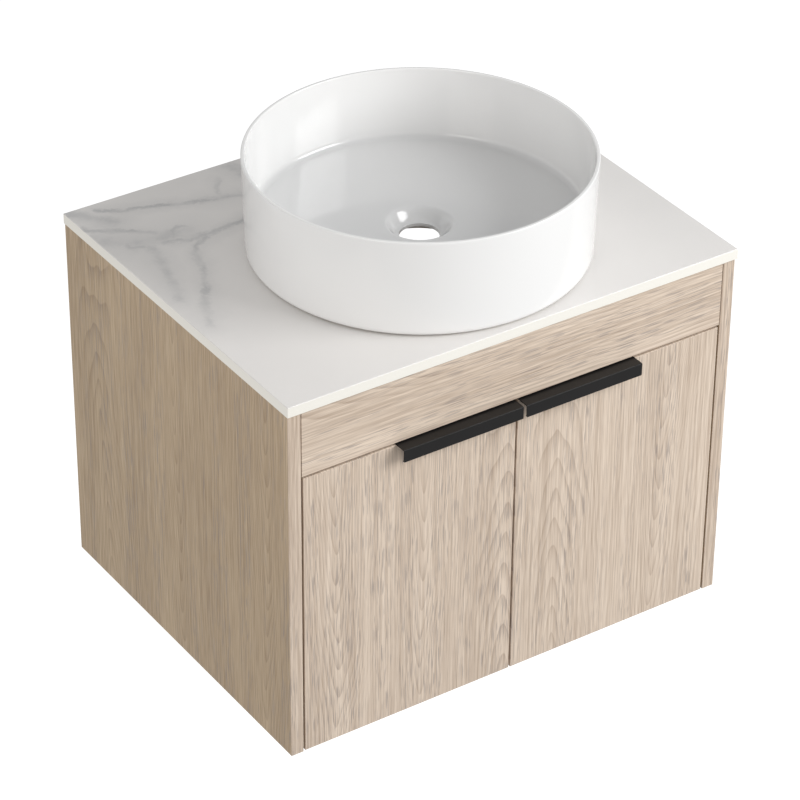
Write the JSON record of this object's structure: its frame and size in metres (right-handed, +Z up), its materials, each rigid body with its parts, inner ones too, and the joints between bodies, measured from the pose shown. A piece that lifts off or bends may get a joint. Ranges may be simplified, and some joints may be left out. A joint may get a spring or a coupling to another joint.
{
  "type": "vessel sink on vanity",
  "caption": "Wall-hung vanity cabinet in light oak decor with hinged doors, black edge pulls, a marble-look top and a round white vessel basin.",
  "frame": {"origin": "on the wall plane, at the middle of the cabinet's bottom edge", "axes": "+X to the right seen from the front, +Y towards the wall, +Z up"},
  "size_m": [0.6, 0.4955, 0.591],
  "materials": {
    "oak_side": "matt light oak decor, grain upright",
    "oak_front": "matt light oak decor",
    "oak_edge_band": "matt edge band in the decor's colour",
    "oak_inside": "matt light oak decor",
    "marble": "honed white slab with soft grey veins",
    "white_ceramic": "glossy white glaze",
    "clear_sealant": "translucent sealant",
    "beech": "plain fluted beech",
    "zinc_casting": "bare zinc",
    "plated_steel": "zinc plated",
    "nickel_plate": "nickel plated pressing",
    "black_aluminium": "matt black anodised",
    "black_steel": "black screws",
    "bumper_rubber": "soft clear bumper"
  },
  "bodies": {
    "carcass": {"side_panel_left": "oak_side", "side_panel_right": "oak_side", "side_edge_band_left": "oak_edge_band", "side_edge_band_right": "oak_edge_band", "bottom_panel": "oak_inside", "bottom_edge_band": "oak_edge_band", "false_front": "oak_front", "front_rail": "oak_inside", "rear_top_rail": "oak_inside", "rear_bottom_rail": "oak_inside", "stone_top": "marble", "basin": "white_ceramic", "basin_seal": "clear_sealant", "dowels": "beech", "cam_locks": "zinc_casting", "cam_bolts": "plated_steel", "false_front_screws": "plated_steel", "hinge_arms_left": "nickel_plate", "arm_rivets_left": "plated_steel", "arm_screws_left": "plated_steel", "mounting_plates_left": "nickel_plate", "plate_screws_left": "plated_steel", "hinge_arms_right": "nickel_plate", "arm_rivets_right": "plated_steel", "arm_screws_right": "plated_steel", "mounting_plates_right": "nickel_plate", "plate_screws_right": "plated_steel"},
    "left_door": {"door_left": "oak_front", "door_edge_bands_left": "oak_edge_band", "handle_left": "black_aluminium", "handle_screws_left": "black_steel", "door_bumpers_left": "bumper_rubber", "hinge_cups_left": "nickel_plate", "cup_screws_left": "plated_steel", "cup_pins_left": "plated_steel"},
    "left_hinge_links": {"hinge_links_left": "nickel_plate"},
    "right_door": {"door_right": "oak_front", "door_edge_bands_right": "oak_edge_band", "handle_right": "black_aluminium", "handle_screws_right": "black_steel", "door_bumpers_right": "bumper_rubber", "hinge_cups_right": "nickel_plate", "cup_screws_right": "plated_steel", "cup_pins_right": "plated_steel"},
    "right_hinge_links": {"hinge_links_right": "nickel_plate"}
  },
  "joints": [
    {"name": "left_door_swing", "type": "hinge", "parent": "carcass", "child": "left_door", "pos_m": [-0.279, -0.4775, 0.185], "axis": [0, 0, -1], "range_deg": [0, 95]},
    {"name": "left_link_turn", "type": "hinge", "parent": "left_door", "child": "left_hinge_links", "pos_m": [-0.2737, -0.46931, 0.185], "axis": [0, 0, 1], "range_deg": [0, 129.17]},
    {"name": "right_door_swing", "type": "hinge", "parent": "carcass", "child": "right_door", "pos_m": [0.279, -0.4775, 0.185], "axis": [0, 0, 1], "range_deg": [0, 95]},
    {"name": "right_link_turn", "type": "hinge", "parent": "right_door", "child": "right_hinge_links", "pos_m": [0.2737, -0.46931, 0.185], "axis": [0, 0, -1], "range_deg": [0, 129.17]}
  ],
  "couplings": [
    {"joint": "left_link_turn", "follows": "left_door_swing", "ratio": 1.3596},
    {"joint": "right_link_turn", "follows": "right_door_swing", "ratio": 1.3596}
  ]
}
